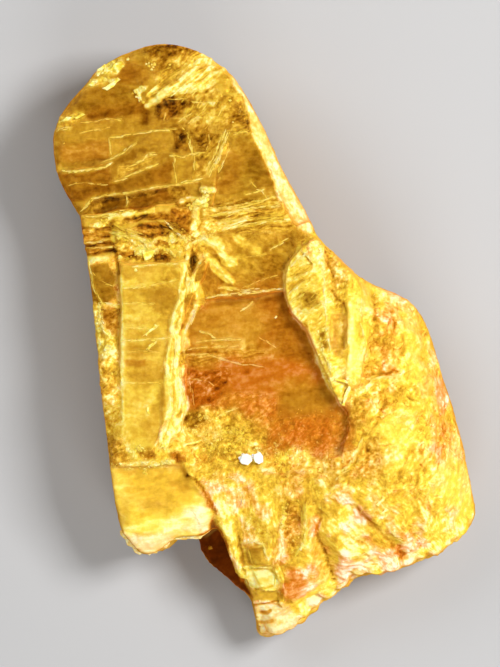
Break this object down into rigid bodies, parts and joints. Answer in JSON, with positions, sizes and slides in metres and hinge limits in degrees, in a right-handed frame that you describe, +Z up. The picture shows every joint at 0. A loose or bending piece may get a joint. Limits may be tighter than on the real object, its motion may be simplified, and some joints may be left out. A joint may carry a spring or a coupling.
{
  "type": "raw orpiment specimen",
  "caption": "Hand specimen of raw golden-yellow orpiment, a glassy cleavage plate grown together with a fibrous mass.",
  "frame": {"origin": "centre of the overall box, at the level of the flat base that the specimen rests on", "axes": "+Z up out of the broad upper face, +Y along the length towards the round lobe, +X towards the fibrous mass"},
  "size_m": [0.0354, 0.0499, 0.0119],
  "materials": {
    "orpiment": "resinous to glassy, translucent amber in the plate, satin golden yellow in the fibrous mass"
  },
  "bodies": {
    "root": {"orpiment": "orpiment"}
  },
  "joints": []
}
